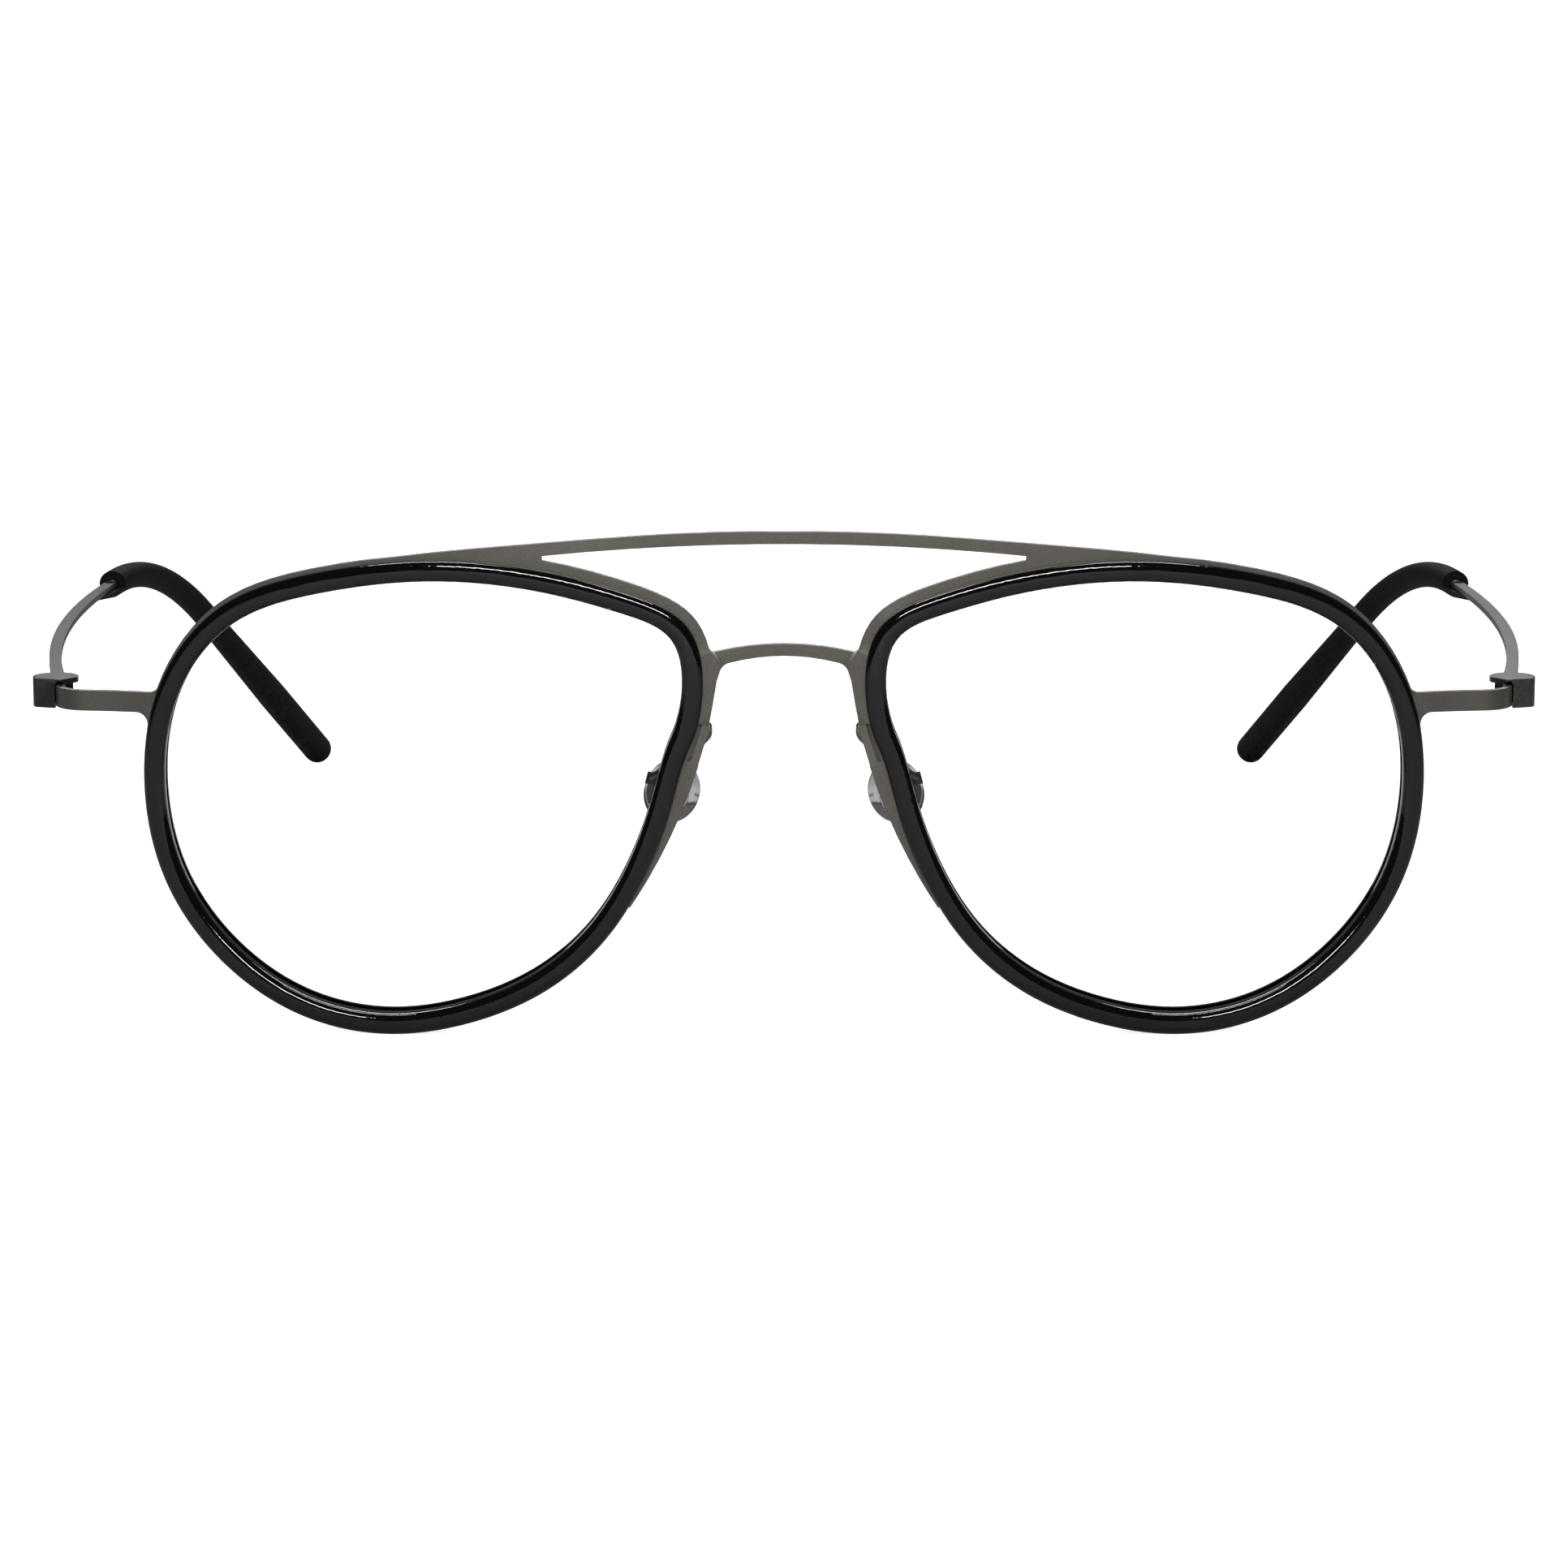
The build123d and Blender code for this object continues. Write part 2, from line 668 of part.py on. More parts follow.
with BuildPart() as pad_clip_right:
    add(curved_layer(0, flange_back))
    with BuildSketch(front_plane):
        with Locations(notch_middle + notch_inwards * (spine_width / 2)):
            Rectangle(spine_width, notch_length, rotation=-notch_lean)
    extrude(amount=-front_zone, mode=Mode.INTERSECT)
    add(clip_foot.part)
    add(clip_flange.part)
    with BuildLine() as arm_path:
        add(bent_path(arm_points, arm_bend_radius))
    with BuildSketch(Plane(origin=arm_start, z_dir=arm_path.line % 0)):
        Circle(arm_radius)
    sweep(path=arm_path.line)
    with BuildSketch(pin_plane(-ear_outside)):
        Circle(pad_eye_radius)
        Rectangle(2 * pad_eye_radius, base_outside, align=(Align.CENTER, Align.MAX))
    extrude(amount=2 * ear_outside)
    with BuildSketch(pin_plane(-ear_inside)):
        with Locations((0, -base_inside)):
            Rectangle(2 * base_outside, 2 * base_outside, align=(Align.CENTER, Align.MIN))
    extrude(amount=2 * ear_inside, mode=Mode.SUBTRACT)
    with BuildSketch(pin_plane(-ear_outside)):
        Circle(pad_pin_radius)
    extrude(amount=2 * ear_outside, mode=Mode.SUBTRACT)

# The wearer's left side is the mirror image
with BuildPart() as rim_left:
    mirror(rim_right.part, about=Plane.YZ)
with BuildPart() as lens_left:
    mirror(lens_right.part, about=Plane.YZ)
with BuildPart() as temple_left:
    mirror(temple_right.part, about=Plane.YZ)
with BuildPart() as hinge_pin_left:
    mirror(hinge_pin_right.part, about=Plane.YZ)
with BuildPart() as temple_tip_left:
    mirror(temple_tip_right.part, about=Plane.YZ)
with BuildPart() as nose_pad_left:
    mirror(nose_pad_right.part, about=Plane.YZ)
with BuildPart() as pad_core_left:
    mirror(pad_core_right.part, about=Plane.YZ)
with BuildPart() as pad_pin_left:
    mirror(pad_pin_right.part, about=Plane.YZ)
with BuildPart() as pad_clip_left:
    mirror(pad_clip_right.part, about=Plane.YZ)

# Every piece is one solid and one file
front_chassis.part.label = "front_chassis"
export_step(front_chassis.part, "parts/front_chassis.step")
rim_right.part.label = "rim_right"
export_step(rim_right.part, "parts/rim_right.step")
rim_left.part.label = "rim_left"
export_step(rim_left.part, "parts/rim_left.step")
lens_right.part.label = "lens_right"
export_step(lens_right.part, "parts/lens_right.step")
lens_left.part.label = "lens_left"
export_step(lens_left.part, "parts/lens_left.step")
temple_right.part.label = "temple_right"
export_step(temple_right.part, "parts/temple_right.step")
temple_left.part.label = "temple_left"
export_step(temple_left.part, "parts/temple_left.step")
hinge_pin_right.part.label = "hinge_pin_right"
export_step(hinge_pin_right.part, "parts/hinge_pin_right.step")
hinge_pin_left.part.label = "hinge_pin_left"
export_step(hinge_pin_left.part, "parts/hinge_pin_left.step")
temple_tip_right.part.label = "temple_tip_right"
export_step(temple_tip_right.part, "parts/temple_tip_right.step")
temple_tip_left.part.label = "temple_tip_left"
export_step(temple_tip_left.part, "parts/temple_tip_left.step")
nose_pad_right.part.label = "nose_pad_right"
export_step(nose_pad_right.part, "parts/nose_pad_right.step")
nose_pad_left.part.label = "nose_pad_left"
export_step(nose_pad_left.part, "parts/nose_pad_left.step")
pad_core_right.part.label = "pad_core_right"
export_step(pad_core_right.part, "parts/pad_core_right.step")
pad_core_left.part.label = "pad_core_left"
export_step(pad_core_left.part, "parts/pad_core_left.step")
pad_pin_right.part.label = "pad_pin_right"
export_step(pad_pin_right.part, "parts/pad_pin_right.step")
pad_pin_left.part.label = "pad_pin_left"
export_step(pad_pin_left.part, "parts/pad_pin_left.step")
pad_clip_right.part.label = "pad_clip_right"
export_step(pad_clip_right.part, "parts/pad_clip_right.step")
pad_clip_left.part.label = "pad_clip_left"
export_step(pad_clip_left.part, "parts/pad_clip_left.step")
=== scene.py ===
"""Dresses the double bridge glasses in titanium, acetate, rubber, silicone and clear lenses."""

import json
import math

import bmesh
import bpy
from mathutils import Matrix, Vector


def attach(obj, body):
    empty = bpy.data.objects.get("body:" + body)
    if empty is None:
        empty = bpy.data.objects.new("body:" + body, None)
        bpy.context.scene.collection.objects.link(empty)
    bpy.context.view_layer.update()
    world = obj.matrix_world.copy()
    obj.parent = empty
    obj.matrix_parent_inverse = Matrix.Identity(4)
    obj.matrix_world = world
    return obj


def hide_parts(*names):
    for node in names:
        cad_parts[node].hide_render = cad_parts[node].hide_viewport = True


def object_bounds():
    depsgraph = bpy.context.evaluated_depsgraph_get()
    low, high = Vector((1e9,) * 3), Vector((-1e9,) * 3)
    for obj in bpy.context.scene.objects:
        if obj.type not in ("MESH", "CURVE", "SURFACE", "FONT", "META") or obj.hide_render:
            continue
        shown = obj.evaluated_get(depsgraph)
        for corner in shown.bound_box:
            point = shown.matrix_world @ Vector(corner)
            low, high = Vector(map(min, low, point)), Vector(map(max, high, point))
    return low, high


bl_info = {
    "name": "Double Bridge Glasses",
    "version": (1, 0, 0),
    "blender": (4, 5, 0),
    "location": "View3D > Sidebar > Glasses",
    "description": "Finishes a double bridge glasses frame and sets its studio",
    "category": "Object",
}

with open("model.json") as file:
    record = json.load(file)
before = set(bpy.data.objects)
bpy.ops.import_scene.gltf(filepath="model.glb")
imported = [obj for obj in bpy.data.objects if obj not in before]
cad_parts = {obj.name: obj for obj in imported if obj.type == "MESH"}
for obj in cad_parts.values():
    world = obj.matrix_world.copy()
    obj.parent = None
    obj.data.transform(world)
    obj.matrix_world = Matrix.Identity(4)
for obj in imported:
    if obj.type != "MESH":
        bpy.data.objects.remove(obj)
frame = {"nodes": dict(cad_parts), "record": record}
cad_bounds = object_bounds()
NODES = frame["nodes"]
MM = 0.001
SIDES = ("right", "left")

# Edges sharper than these angles stay crisp
SHARP_METAL = math.radians(28.0)
SHARP_ACETATE = math.radians(28.0)
SHARP_SMALL = math.radians(30.0)
SHARP_LENS = math.radians(20.0)

# Corners closer than this are one corner, and faces within this angle are one face
JOIN_DISTANCE = 0.0005 * MM
FLAT_ANGLE = math.radians(0.5)

# The rims stand this far in front of the titanium, which the camera is aimed at
RIM_PROUD = 0.9 * MM

# The floor, and how bright its paint is
FLOOR_HALF_WIDTH = 4.0
FLOOR_GAP = 0.02 * MM
FLOOR_PAINT = (0.45, 0.45, 0.45, 1.0)

# Camera film, and the nearest and farthest distance that it sees
SENSOR_WIDTH = 36.0
CLIP_NEAR, CLIP_FAR = 0.01, 20.0

# Every softbox has this width
SOFTBOX_WIDTH = 0.42

# Name, setting that holds its power, place, aim and height of each softbox
SOFTBOXES = (
    ("Main Softbox", "main_light", (0.0, -0.63, 0.36), (0.0, -0.07, 0.03), 0.12),
    ("Top Softbox", "top_light", (0.0, 0.12, 0.55), (0.0, -0.06, 0.02), 0.1),
    ("Back Softbox", "back_light", (0.0, 0.45, 0.32), (0.0, -0.03, 0.02), 0.1),
)

# The backdrop in the gloss: how far backwards it fades in, and its brightness in front and behind
BACKDROP_START, BACKDROP_END = 0.55, 0.85
BACKDROP_FRONT, BACKDROP_BEHIND = 0.04, 0.1

# Pointiness at which the wear of an edge starts and is full
WEAR_START, WEAR_FULL = 0.52, 0.62

# Refractive indices, and the weak gloss of the rubber
ACETATE_INDEX = 1.49
LENS_INDEX = 1.05
SILICONE_INDEX = 1.25
RUBBER_GLOSS = 0.06

# Height of the grain of every finish, and the lens's faint waves in a millimetre
GRAIN_HEIGHT = 0.02 * MM
LENS_WAVES = 0.03 / MM
LENS_WAVE_HEIGHT = 0.05 * MM


def body_of(node):
    """The moving body that carries a node."""
    for body, members in frame["record"]["behaviour"]["bodies"].items():
        if node in members:
            return body
    raise RuntimeError(f"no body carries {node}")


# Shader groups


def add_socket(tree, name, way, kind, value=None, low=None, high=None):
    """Adds one named socket to a shader group."""
    socket = tree.interface.new_socket(name=name, in_out=way, socket_type=kind)
    if value is not None:
        socket.default_value = value
    if low is not None:
        socket.min_value = low
        socket.max_value = high


def blasted_grain_group():
    """Fine grain of a bead-blasted or moulded surface, in its tone, roughness and height."""
    tree = bpy.data.node_groups.get("Blasted Grain")
    if tree:
        return tree
    tree = bpy.data.node_groups.new("Blasted Grain", "ShaderNodeTree")
    add_socket(tree, "Color", "INPUT", "NodeSocketColor", (0.5, 0.5, 0.5, 1.0))
    add_socket(tree, "Roughness", "INPUT", "NodeSocketFloat", 0.4, 0.0, 1.0)
    add_socket(tree, "Grains per Millimetre", "INPUT", "NodeSocketFloat", 8.0, 0.1, 100.0)
    add_socket(tree, "Tone Change", "INPUT", "NodeSocketFloat", 0.1, 0.0, 1.0)
    add_socket(tree, "Roughness Change", "INPUT", "NodeSocketFloat", 0.1, 0.0, 1.0)
    add_socket(tree, "Cloud Change", "INPUT", "NodeSocketFloat", 0.05, 0.0, 1.0)
    add_socket(tree, "Color", "OUTPUT", "NodeSocketColor")
    add_socket(tree, "Roughness", "OUTPUT", "NodeSocketFloat")
    add_socket(tree, "Height", "OUTPUT", "NodeSocketFloat")
    nodes, links = tree.nodes, tree.links
    given = nodes.new("NodeGroupInput")
    result = nodes.new("NodeGroupOutput")
    place = nodes.new("ShaderNodeTexCoord")
    per_metre = nodes.new("ShaderNodeMath")
    per_metre.operation = "MULTIPLY"
    per_metre.inputs[1].default_value = 1.0 / MM
    links.new(given.outputs["Grains per Millimetre"], per_metre.inputs[0])
    grain = nodes.new("ShaderNodeTexNoise")
    grain.inputs["Detail"].default_value = 3.0
    grain.inputs["Roughness"].default_value = 0.6
    links.new(place.outputs["Object"], grain.inputs["Vector"])
    links.new(per_metre.outputs[0], grain.inputs["Scale"])
    cloud = nodes.new("ShaderNodeTexNoise")
    cloud.inputs["Scale"].default_value = 0.25 / MM
    cloud.inputs["Detail"].default_value = 2.0
    links.new(place.outputs["Object"], cloud.inputs["Vector"])

    def swing(source, amount):
        """A factor round 1 that swings with a noise by an amount."""
        centred = nodes.new("ShaderNodeMath")
        centred.operation = "SUBTRACT"
        centred.inputs[1].default_value = 0.5
        links.new(source, centred.inputs[0])
        scaled = nodes.new("ShaderNodeMath")
        scaled.operation = "MULTIPLY"
        links.new(centred.outputs[0], scaled.inputs[0])
        links.new(amount, scaled.inputs[1])
        doubled = nodes.new("ShaderNodeMath")
        doubled.operation = "MULTIPLY_ADD"
        doubled.inputs[1].default_value = 2.0
        doubled.inputs[2].default_value = 1.0
        links.new(scaled.outputs[0], doubled.inputs[0])
        return doubled.outputs[0]

    fine = swing(grain.outputs["Fac"], given.outputs["Tone Change"])
    broad = swing(cloud.outputs["Fac"], given.outputs["Cloud Change"])
    both = nodes.new("ShaderNodeMath")
    both.operation = "MULTIPLY"
    links.new(fine, both.inputs[0])
    links.new(broad, both.inputs[1])
    toned = nodes.new("ShaderNodeVectorMath")
    toned.operation = "SCALE"
    links.new(given.outputs["Color"], toned.inputs[0])
    links.new(both.outputs[0], toned.inputs["Scale"])
    rougher = nodes.new("ShaderNodeMath")
    rougher.operation = "MULTIPLY"
    rougher.use_clamp = True
    links.new(given.outputs["Roughness"], rougher.inputs[0])
    links.new(swing(grain.outputs["Fac"], given.outputs["Roughness Change"]), rougher.inputs[1])
    links.new(toned.outputs[0], result.inputs["Color"])
    links.new(rougher.outputs[0], result.inputs["Roughness"])
    links.new(grain.outputs["Fac"], result.inputs["Height"])
    return tree


def edge_wear_group():
    """A mask of the outer edges, where handling rubs a finish brighter."""
    tree = bpy.data.node_groups.get("Edge Wear")
    if tree:
        return tree
    tree = bpy.data.node_groups.new("Edge Wear", "ShaderNodeTree")
    add_socket(tree, "Amount", "INPUT", "NodeSocketFloat", 0.5, 0.0, 1.0)
    add_socket(tree, "Breakup per Millimetre", "INPUT", "NodeSocketFloat", 2.0, 0.1, 50.0)
    add_socket(tree, "Mask", "OUTPUT", "NodeSocketFloat")
    nodes, links = tree.nodes, tree.links
    given = nodes.new("NodeGroupInput")
    result = nodes.new("NodeGroupOutput")
    surface = nodes.new("ShaderNodeNewGeometry")
    ramp = nodes.new("ShaderNodeMapRange")
    ramp.inputs["From Min"].default_value = WEAR_START
    ramp.inputs["From Max"].default_value = WEAR_FULL
    links.new(surface.outputs["Pointiness"], ramp.inputs["Value"])
    place = nodes.new("ShaderNodeTexCoord")
    per_metre = nodes.new("ShaderNodeMath")
    per_metre.operation = "MULTIPLY"
    per_metre.inputs[1].default_value = 1.0 / MM
    links.new(given.outputs["Breakup per Millimetre"], per_metre.inputs[0])
    breakup = nodes.new("ShaderNodeTexNoise")
    breakup.inputs["Detail"].default_value = 2.0
    links.new(place.outputs["Object"], breakup.inputs["Vector"])
    links.new(per_metre.outputs[0], breakup.inputs["Scale"])
    broken = nodes.new("ShaderNodeMath")
    broken.operation = "MULTIPLY"
    links.new(ramp.outputs["Result"], broken.inputs[0])
    links.new(breakup.outputs["Fac"], broken.inputs[1])
    scaled = nodes.new("ShaderNodeMath")
    scaled.operation = "MULTIPLY"
    scaled.use_clamp = True
    links.new(broken.outputs[0], scaled.inputs[0])
    links.new(given.outputs["Amount"], scaled.inputs[1])
    links.new(scaled.outputs[0], result.inputs["Mask"])
    return tree


# Materials


def start_material(name):
    """An empty node material with its shader and output joined."""
    material = bpy.data.materials.get(name) or bpy.data.materials.new(name)
    material.use_nodes = True
    nodes = material.node_tree.nodes
    nodes.clear()
    output = nodes.new("ShaderNodeOutputMaterial")
    shader = nodes.new("ShaderNodeBsdfPrincipled")
    material.node_tree.links.new(shader.outputs["BSDF"], output.inputs["Surface"])
    return material, shader


def add_grain(material, shader, color, roughness, grains, tone, rough_change, cloud, bump):
    """Feeds a shader's roughness and normal from the grain group, and returns the group."""
    nodes, links = material.node_tree.nodes, material.node_tree.links
    grain = nodes.new("ShaderNodeGroup")
    grain.node_tree = blasted_grain_group()
    grain.inputs["Color"].default_value = (*color, 1.0)
    grain.inputs["Roughness"].default_value = roughness
    grain.inputs["Grains per Millimetre"].default_value = grains
    grain.inputs["Tone Change"].default_value = tone
    grain.inputs["Roughness Change"].default_value = rough_change
    grain.inputs["Cloud Change"].default_value = cloud
    links.new(grain.outputs["Roughness"], shader.inputs["Roughness"])
    bumped = nodes.new("ShaderNodeBump")
    bumped.inputs["Strength"].default_value = bump
    bumped.inputs["Distance"].default_value = GRAIN_HEIGHT
    links.new(grain.outputs["Height"], bumped.inputs["Height"])
    links.new(bumped.outputs["Normal"], shader.inputs["Normal"])
    return grain


def titanium_material(name, color, finish):
    """Matte bead-blasted titanium, rubbed a little brighter on its edges."""
    material, shader = start_material(name)
    nodes, links = material.node_tree.nodes, material.node_tree.links
    shader.inputs["Metallic"].default_value = 1.0
    grain = add_grain(
        material, shader, color, finish.titanium_roughness, finish.titanium_grains,
        tone=0.35, rough_change=0.25, cloud=0.08, bump=0.35,
    )
    wear = nodes.new("ShaderNodeGroup")
    wear.node_tree = edge_wear_group()
    wear.inputs["Amount"].default_value = finish.edge_wear
    wear.inputs["Breakup per Millimetre"].default_value = 2.5
    worn = nodes.new("ShaderNodeMix")
    worn.data_type = "RGBA"
    worn.inputs["B"].default_value = (*finish.worn_color, 1.0)
    links.new(wear.outputs["Mask"], worn.inputs["Factor"])
    links.new(grain.outputs["Color"], worn.inputs["A"])
    links.new(worn.outputs["Result"], shader.inputs["Base Color"])
    return material


def acetate_material(finish):
    """Black acetate, polished, with very faint clouding."""
    material, shader = start_material("Black Acetate")
    grain = add_grain(
        material, shader, finish.acetate_color, finish.acetate_roughness, grains=3.0,
        tone=0.1, rough_change=0.12, cloud=0.3, bump=0.01,
    )
    material.node_tree.links.new(grain.outputs["Color"], shader.inputs["Base Color"])
    shader.inputs["IOR"].default_value = ACETATE_INDEX
    shader.inputs["Specular IOR Level"].default_value = finish.acetate_gloss
    return material


def rubber_material(finish):
    """Matte black rubber of the temple tips."""
    material, shader = start_material("Tip Rubber")
    grain = add_grain(
        material, shader, finish.rubber_color, finish.rubber_roughness, grains=12.0,
        tone=0.2, rough_change=0.15, cloud=0.15, bump=0.25,
    )
    material.node_tree.links.new(grain.outputs["Color"], shader.inputs["Base Color"])
    shader.inputs["Specular IOR Level"].default_value = RUBBER_GLOSS
    return material


def lens_material(finish):
    """Clear coated lens, whose low index keeps its reflections faint."""
    material, shader = start_material("Clear Lens")
    shader.inputs["Base Color"].default_value = (*finish.lens_color, 1.0)
    shader.inputs["Roughness"].default_value = 0.0
    shader.inputs["IOR"].default_value = LENS_INDEX
    shader.inputs["Specular IOR Level"].default_value = 0.5
    shader.inputs["Transmission Weight"].default_value = 1.0
    nodes, links = material.node_tree.nodes, material.node_tree.links
    place = nodes.new("ShaderNodeTexCoord")
    waves = nodes.new("ShaderNodeTexNoise")
    waves.inputs["Scale"].default_value = LENS_WAVES
    waves.inputs["Detail"].default_value = 0.0
    links.new(place.outputs["Object"], waves.inputs["Vector"])
    bumped = nodes.new("ShaderNodeBump")
    bumped.inputs["Strength"].default_value = 0.02
    bumped.inputs["Distance"].default_value = LENS_WAVE_HEIGHT
    links.new(waves.outputs["Fac"], bumped.inputs["Height"])
    links.new(bumped.outputs["Normal"], shader.inputs["Normal"])
    return material


def silicone_material(finish):
    """Clear soft silicone, whose colour is darkened towards its outline as painted shade, where
    the surface turns away from the view.
    """
    material, shader = start_material("Clear Silicone")
    grain = add_grain(
        material, shader, finish.silicone_color, roughness=0.08, grains=6.0,
        tone=0.02, rough_change=0.4, cloud=0.03, bump=0.05,
    )
    nodes, links = material.node_tree.nodes, material.node_tree.links
    # Painted shade: the colour darkens towards the outline tint as the surface turns away from
    # the view, standing in for the dark outlines of clear pads
    facing = nodes.new("ShaderNodeLayerWeight")
    facing.inputs["Blend"].default_value = 0.5
    painted_outline_shade = nodes.new("ShaderNodeMix")
    painted_outline_shade.data_type = "RGBA"
    painted_outline_shade.inputs["B"].default_value = (*finish.silicone_painted_shade, 1.0)
    links.new(facing.outputs["Facing"], painted_outline_shade.inputs["Factor"])
    links.new(grain.outputs["Color"], painted_outline_shade.inputs["A"])
    links.new(painted_outline_shade.outputs["Result"], shader.inputs["Base Color"])
    shader.inputs["IOR"].default_value = SILICONE_INDEX
    shader.inputs["Transmission Weight"].default_value = 1.0
    return material


def satin_metal_material(name, color, roughness):
    """Satin turned or pressed metal of the small parts."""
    material, shader = start_material(name)
    shader.inputs["Metallic"].default_value = 1.0
    grain = add_grain(
        material, shader, color, roughness, grains=14.0,
        tone=0.15, rough_change=0.2, cloud=0.05, bump=0.15,
    )
    material.node_tree.links.new(grain.outputs["Color"], shader.inputs["Base Color"])
    return material


def break_edges(bm, angle, edge_break):
    """Rounds the sharp edges of a piece a little, as tumbling or polishing does."""
    bmesh.ops.dissolve_limit(bm, angle_limit=FLAT_ANGLE, verts=bm.verts, edges=bm.edges)
    sharp = [
        edge for edge in bm.edges
        if len(edge.link_faces) == 2 and edge.calc_face_angle(0.0) >= angle
    ]
    bmesh.ops.bevel(
        bm, geom=sharp, offset=edge_break, offset_type="OFFSET", segments=2, profile=0.5,
        affect="EDGES", clamp_overlap=True, material=-1,
    )
    bmesh.ops.triangulate(bm, faces=[face for face in bm.faces if len(face.verts) > 4])


def smooth_copy(node, material, angle, edge_break=0.0):
    """Stands in for a CAD piece, with its triangles joined, broken edges and smooth shading."""
    source = NODES[node]
    mesh = bpy.data.meshes.new(node + "_skin")
    bm = bmesh.new()
    bm.from_mesh(source.data)
    bmesh.ops.remove_doubles(bm, verts=bm.verts, dist=JOIN_DISTANCE)
    bmesh.ops.recalc_face_normals(bm, faces=bm.faces)
    if edge_break:
        break_edges(bm, angle, edge_break)
    for edge in bm.edges:
        edge.smooth = len(edge.link_faces) == 2 and edge.calc_face_angle(0.0) < angle
    for face in bm.faces:
        face.smooth = True
    bm.to_mesh(mesh)
    bm.free()
    skin = bpy.data.objects.new(node + "_skin", mesh)
    bpy.context.scene.collection.objects.link(skin)
    mesh.materials.append(material)
    if edge_break:
        flat = skin.modifiers.new("Flat Faces", "WEIGHTED_NORMAL")
        flat.mode = "FACE_AREA"
        flat.weight = 100
        flat.keep_sharp = True
    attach(skin, body_of(node))
    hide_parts(node)


# Settings


class GlassesFinish(bpy.types.PropertyGroup):
    """Colours and finishes of the glasses."""

    titanium_color: bpy.props.FloatVectorProperty(
        name="Titanium", description="Colour of the front and the clips", subtype="COLOR",
        size=3, min=0.0, max=1.0, default=(0.15, 0.141, 0.126),
    )
    temple_color: bpy.props.FloatVectorProperty(
        name="Temples", description="Colour of the temples", subtype="COLOR",
        size=3, min=0.0, max=1.0, default=(0.043, 0.0427, 0.0423),
    )
    titanium_roughness: bpy.props.FloatProperty(
        name="Titanium Roughness", description="How matte the titanium is", subtype="FACTOR",
        min=0.0, max=1.0, default=0.42,
    )
    titanium_grains: bpy.props.FloatProperty(
        name="Titanium Grain", description="Grains of the blasted surface in a millimetre",
        min=0.5, max=50.0, default=9.0,
    )
    edge_break: bpy.props.FloatProperty(
        name="Edge Break", description="Rounding of the metal's edges, in millimetres",
        min=0.0, max=0.1, default=0.05,
    )
    worn_color: bpy.props.FloatVectorProperty(
        name="Worn Titanium", description="Colour of the handled edges", subtype="COLOR",
        size=3, min=0.0, max=1.0, default=(0.3, 0.29, 0.27),
    )
    edge_wear: bpy.props.FloatProperty(
        name="Edge Wear", description="How much brighter the handled edges are", subtype="FACTOR",
        min=0.0, max=1.0, default=0.35,
    )
    acetate_color: bpy.props.FloatVectorProperty(
        name="Acetate", description="Colour of the inner rims", subtype="COLOR",
        size=3, min=0.0, max=1.0, default=(0.0015, 0.0015, 0.0015),
    )
    acetate_roughness: bpy.props.FloatProperty(
        name="Acetate Roughness", description="How matte the inner rims are", subtype="FACTOR",
        min=0.0, max=1.0, default=0.05,
    )
    acetate_gloss: bpy.props.FloatProperty(
        name="Acetate Gloss", description="Strength of the inner rims' reflection",
        subtype="FACTOR", min=0.0, max=1.0, default=0.5,
    )
    rubber_color: bpy.props.FloatVectorProperty(
        name="Rubber", description="Colour of the temple tips", subtype="COLOR",
        size=3, min=0.0, max=1.0, default=(0.003, 0.003, 0.003),
    )
    rubber_roughness: bpy.props.FloatProperty(
        name="Rubber Roughness", description="How matte the tips are", subtype="FACTOR",
        min=0.0, max=1.0, default=0.65,
    )
    lens_color: bpy.props.FloatVectorProperty(
        name="Lens", description="Tint of the lenses", subtype="COLOR",
        size=3, min=0.0, max=1.0, default=(1.0, 1.0, 1.0),
    )
    silicone_color: bpy.props.FloatVectorProperty(
        name="Silicone", description="Tint of the nose pads", subtype="COLOR",
        size=3, min=0.0, max=1.0, default=(0.93, 0.95, 0.98),
    )
    # Painted shade: the darker colour that the nose pads are given towards their outline
    silicone_painted_shade: bpy.props.FloatVectorProperty(
        name="Silicone Painted Shade", description="Tint of the nose pads towards their outline",
        subtype="COLOR", size=3, min=0.0, max=1.0, default=(0.55, 0.57, 0.62),
    )
    core_color: bpy.props.FloatVectorProperty(
        name="Pad Cores", description="Colour of the metal inside the nose pads", subtype="COLOR",
        size=3, min=0.0, max=1.0, default=(0.6, 0.63, 0.68),
    )
    core_roughness: bpy.props.FloatProperty(
        name="Core Roughness", description="How matte the pad cores are", subtype="FACTOR",
        min=0.0, max=1.0, default=0.3,
    )
    pin_color: bpy.props.FloatVectorProperty(
        name="Pins", description="Colour of the hinge pins and the pad pins", subtype="COLOR",
        size=3, min=0.0, max=1.0, default=(0.25, 0.245, 0.24),
    )
    pin_roughness: bpy.props.FloatProperty(
        name="Pin Roughness", description="How matte the pins are", subtype="FACTOR",
        min=0.0, max=1.0, default=0.35,
    )


